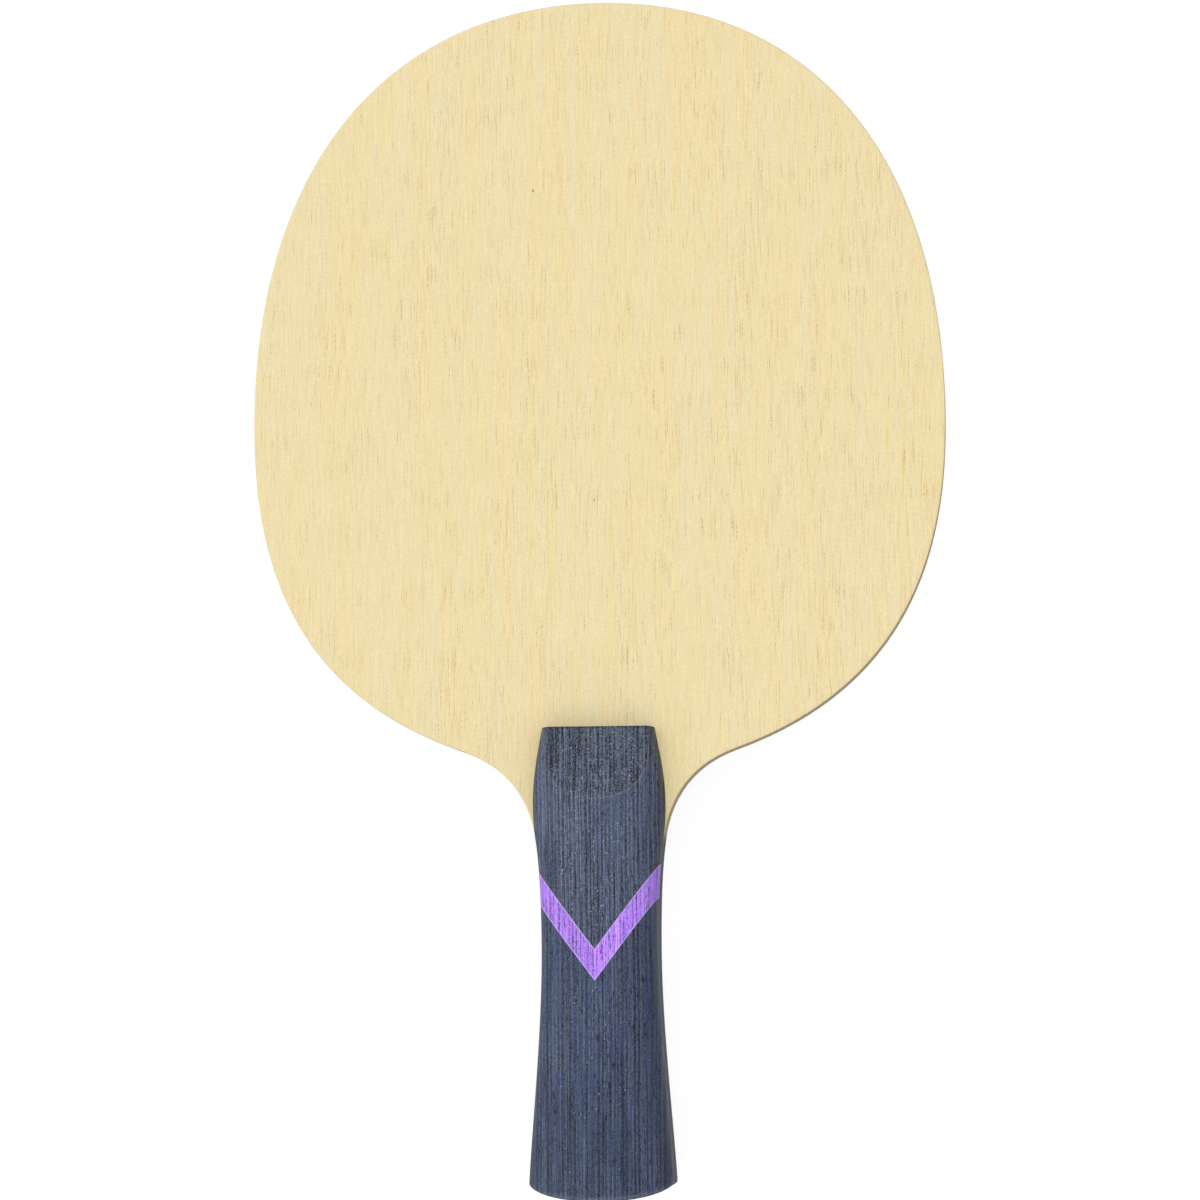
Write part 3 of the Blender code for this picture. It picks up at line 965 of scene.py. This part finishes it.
def add_camera():
    """Nearly square above the blade, a little to its right and towards the butt."""
    data = bpy.data.cameras.new("camera")
    data.lens = CAMERA_LENS
    data.sensor_width = CAMERA_SENSOR
    data.clip_start = 0.01
    camera = bpy.data.objects.new("camera", data)
    bpy.context.scene.collection.objects.link(camera)
    back = (CAMERA_PLACE - CAMERA_TARGET).normalized()
    right = Vector((0.0, 1.0, 0.0)).cross(back).normalized()
    up = back.cross(right)
    turn = Matrix((right, up, back)).transposed().to_4x4()
    camera.matrix_world = Matrix.Translation(CAMERA_PLACE) @ turn @ Matrix.Rotation(CAMERA_ROLL, 4, "Z")
    bpy.context.scene.camera = camera


def add_key_lamp():
    """A lamp from the upper left, as soft as a wide diffuser close by, so that it casts no shadow."""
    data = bpy.data.lights.new("key_lamp", "SUN")
    data.energy = KEY_STRENGTH
    data.angle = KEY_SOFTNESS
    data.use_shadow = False
    lamp = bpy.data.objects.new("key_lamp", data)
    bpy.context.scene.collection.objects.link(lamp)
    lamp.rotation_euler = KEY_DIRECTION.to_track_quat("Z", "Y").to_euler()


def add_sky():
    """A white dome, brightest overhead and dim near the horizon."""
    world = bpy.data.worlds.new("studio")
    bpy.context.scene.world = world
    world.use_nodes = True
    nodes = world.node_tree.nodes
    links = world.node_tree.links
    background = nodes["Background"]
    background.inputs["Color"].default_value = WHITE
    direction = nodes.new("ShaderNodeTexCoord")
    axes = nodes.new("ShaderNodeSeparateXYZ")
    dome = nodes.new("ShaderNodeMapRange")
    dome.interpolation_type = "SMOOTHSTEP"
    dome.inputs["From Min"].default_value = SKY_FROM_Z
    dome.inputs["From Max"].default_value = SKY_TO_Z
    dome.inputs["To Min"].default_value = SKY_LOW
    dome.inputs["To Max"].default_value = SKY_HIGH
    links.new(direction.outputs["Generated"], axes.inputs[0])
    links.new(axes.outputs["Z"], dome.inputs["Value"])
    links.new(dome.outputs["Result"], background.inputs["Strength"])


def sweep_profile():
    """(radius, height) from the middle of the floor, out and up around the bend."""
    profile = [(0.0, 0.0), (SWEEP_RADIUS, 0.0)]
    for step in range(1, SWEEP_STEPS + 1):
        turn = math.pi / 2 * step / SWEEP_STEPS
        profile.append((SWEEP_RADIUS + SWEEP_BEND * math.sin(turn), SWEEP_BEND * (1 - math.cos(turn))))
    profile.append((SWEEP_RADIUS + SWEEP_BEND, SWEEP_HEIGHT))
    return profile


def add_floor():
    """A round sweep of glowing white paper. It adds no diffuse light to the sides of the blade."""
    sweep = bmesh.new()
    line = [sweep.verts.new((radius, 0.0, height)) for radius, height in sweep_profile()]
    edges = [sweep.edges.new(pair) for pair in zip(line, line[1:])]
    bmesh.ops.spin(
        sweep, geom=line + edges, axis=(0, 0, 1), cent=(0, 0, 0), angle=2 * math.pi, steps=SWEEP_TURNS
    )
    bmesh.ops.remove_doubles(sweep, verts=sweep.verts, dist=WELD)
    mesh = bpy.data.meshes.new("floor")
    sweep.to_mesh(mesh)
    sweep.free()
    mesh.shade_smooth()
    material = bpy.data.materials.new("floor_paper")
    material.use_nodes = True
    shader = material.node_tree.nodes["Principled BSDF"]
    shader.inputs["Base Color"].default_value = PAPER_COLOUR
    shader.inputs["Roughness"].default_value = PAPER_ROUGHNESS
    shader.inputs["Specular IOR Level"].default_value = 0.0
    shader.inputs["Emission Color"].default_value = WHITE
    shader.inputs["Emission Strength"].default_value = PAPER_GLOW
    mesh.materials.append(material)
    floor = bpy.data.objects.new("floor", mesh)
    bpy.context.scene.collection.objects.link(floor)
    floor.visible_diffuse = False


# ---------------------------------------------------------------- the whole

handle_rows = add_handle_pieces(MATERIALS)
add_plies(handle_rows, MATERIALS)
add_camera()
add_key_lamp()
add_sky()
add_floor()
bpy.context.scene.view_settings.view_transform = "Standard"
